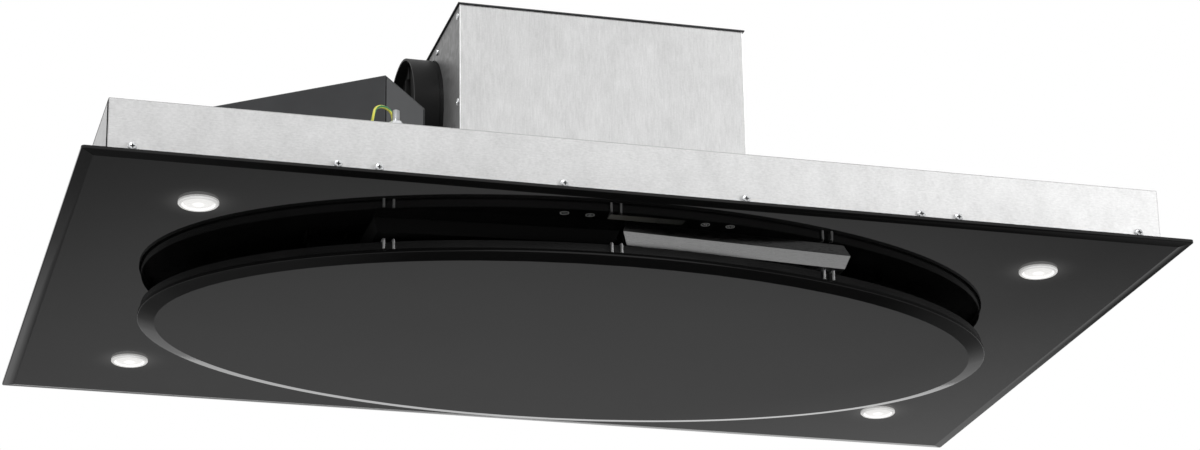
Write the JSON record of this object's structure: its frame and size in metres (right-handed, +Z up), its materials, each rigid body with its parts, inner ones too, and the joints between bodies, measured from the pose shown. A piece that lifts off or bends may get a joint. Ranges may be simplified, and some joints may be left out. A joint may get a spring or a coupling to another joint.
{
  "type": "ceiling range hood",
  "caption": "Ceiling-recessed range hood: bevelled black glass panel with lamps, hinged oval glass suction plate, galvanised body and motor box with side duct collar.",
  "frame": {"origin": "centre of the four ceiling bolt holes, on the outer face of the body's top sheet", "axes": "+Z up into the ceiling, +X along the panel's long side, +Y away from the touch keys"},
  "size_m": [0.9, 0.575, 0.254],
  "materials": {
    "galvanised": "galvanised sheet with fine streaks",
    "black_glass": "glossy black glass with polished bevels",
    "black_steel": "black coated sheet",
    "filter_steel": "brushed stainless sheet",
    "filter_mesh": "expanded aluminium mesh",
    "zinc_fasteners": "zinc plated",
    "chrome": "polished",
    "lamp_lens": "frosted lens, lit white",
    "lamp_metal": "plain",
    "black_plastic": "moulded",
    "dark_box": "dark grey coated",
    "circuit_board": "solder mask",
    "fan_wheel": "moulded",
    "shaft_steel": "ground",
    "motor_case": "die cast",
    "bearing_bronze": "sintered",
    "magnet": "magnet in a plastic housing",
    "rubber": "moulded",
    "capacitor_white": "plain",
    "earth_insulation": "yellow with a green stripe"
  },
  "bodies": {
    "hood": {"body_shell": "galvanised", "end_wall_left": "galvanised", "end_wall_right": "galvanised", "motor_box_wrap": "galvanised", "motor_box_left": "galvanised", "motor_box_right": "galvanised", "scroll_wrap": "galvanised", "scroll_side_front": "galvanised", "scroll_side_rear": "galvanised", "intake_frame": "galvanised", "motor_bracket": "galvanised", "capacitor_clip": "galvanised", "glass_panel": "black_glass", "glass_frame": "black_steel", "filter_pan_left": "black_steel", "hinge_arms": "black_steel", "filter_pan_right": "filter_steel", "filter_mesh_left": "filter_mesh", "filter_mesh_right": "filter_mesh", "wall_screws": "zinc_fasteners", "box_rivets": "zinc_fasteners", "collar_screws": "zinc_fasteners", "control_box_screws": "zinc_fasteners", "earth_stud": "zinc_fasteners", "earth_nuts": "zinc_fasteners", "earth_lug": "zinc_fasteners", "lamp_bezels": "chrome", "lamp_lenses": "lamp_lens", "lamp_cans": "lamp_metal", "duct_collar": "black_plastic", "lamp_nuts": "black_plastic", "cable_gland": "black_plastic", "lead_grommet": "black_plastic", "inlet_rings": "black_plastic", "damper_pin": "black_plastic", "control_box_base": "dark_box", "control_box_lid": "dark_box", "motor_box_lid": "dark_box", "control_board": "circuit_board", "touch_board": "circuit_board", "motor": "motor_case", "motor_bearings": "bearing_bronze", "catch_magnets": "magnet", "scroll_pads": "rubber", "capacitor": "capacitor_white", "earth_lead": "earth_insulation"},
    "plate": {"plate_glass": "black_glass", "plate_tray": "black_steel", "tray_clips": "chrome", "hinge_ears": "black_steel", "hinge_pins": "shaft_steel", "strike_plates": "black_steel"},
    "wheel": {"impeller": "fan_wheel", "motor_shaft": "shaft_steel"},
    "damper_front": {"damper_flap_front": "black_plastic"},
    "damper_rear": {"damper_flap_rear": "black_plastic"},
    "latch_left": {"filter_latch_left": "black_plastic"},
    "latch_right": {"filter_latch_right": "black_plastic"}
  },
  "joints": [
    {"name": "plate_hinge", "type": "hinge", "parent": "hood", "child": "plate", "pos_m": [0, 0.203, -0.059], "axis": [1, 0, 0], "range_deg": [0, 75]},
    {"name": "wheel_spin", "type": "hinge", "parent": "hood", "child": "wheel", "pos_m": [0.0165, 0, 0.0775], "axis": [0, 1, 0], "continuous": true},
    {"name": "damper_front_hinge", "type": "hinge", "parent": "hood", "child": "damper_front", "pos_m": [-0.14, 0, 0.108], "axis": [0, 0, -1], "range_deg": [0, 75], "stiffness_Nm_per_rad": 0.004},
    {"name": "damper_rear_hinge", "type": "hinge", "parent": "hood", "child": "damper_rear", "pos_m": [-0.14, 0, 0.108], "axis": [0, 0, 1], "range_deg": [0, 75], "stiffness_Nm_per_rad": 0.004},
    {"name": "latch_left_slide", "type": "slide", "parent": "hood", "child": "latch_left", "axis": [0, 1, 0], "range_m": [0, 0.006], "stiffness_N_per_m": 300, "springref_m": -0.004},
    {"name": "latch_right_slide", "type": "slide", "parent": "hood", "child": "latch_right", "axis": [0, 1, 0], "range_m": [0, 0.006], "stiffness_N_per_m": 300, "springref_m": -0.004}
  ]
}
